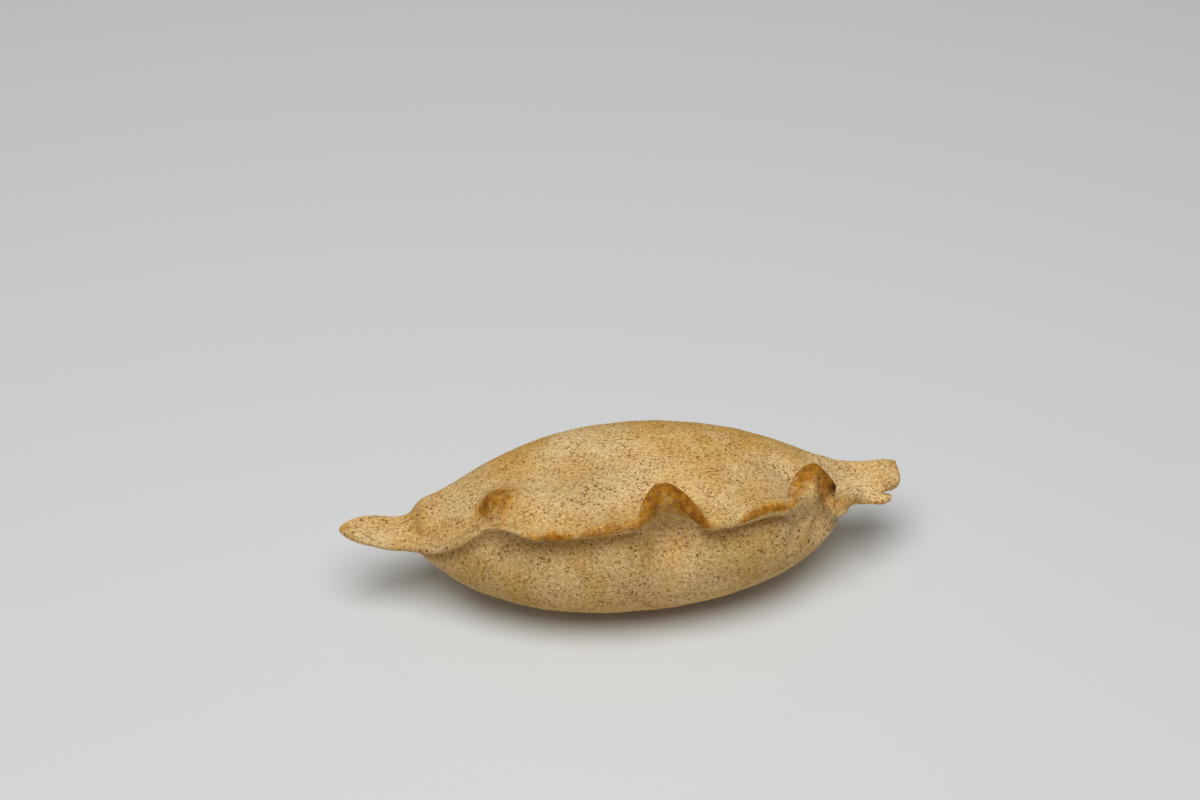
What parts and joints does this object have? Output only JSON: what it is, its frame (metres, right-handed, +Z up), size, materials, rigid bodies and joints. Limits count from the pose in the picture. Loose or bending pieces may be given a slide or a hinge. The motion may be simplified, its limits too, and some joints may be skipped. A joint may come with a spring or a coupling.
{
  "type": "empanada",
  "caption": "Baked wholemeal empanada: a plump spindle of dough closed along the front by a folded, browned rim, with flat tabs at both ends.",
  "frame": {"origin": "centre of the box, on the surface that the pastry rests on", "axes": "+X along the length to the forked right tab, -Y out of the front where the rim is, +Z up"},
  "size_m": [0.1676, 0.0628, 0.0535],
  "materials": {
    "baked_dough": "baked wholemeal dough, matt and floury, golden to brown on the folds, with fine bran flecks"
  },
  "bodies": {
    "root": {"empanada": "baked_dough"}
  },
  "joints": []
}
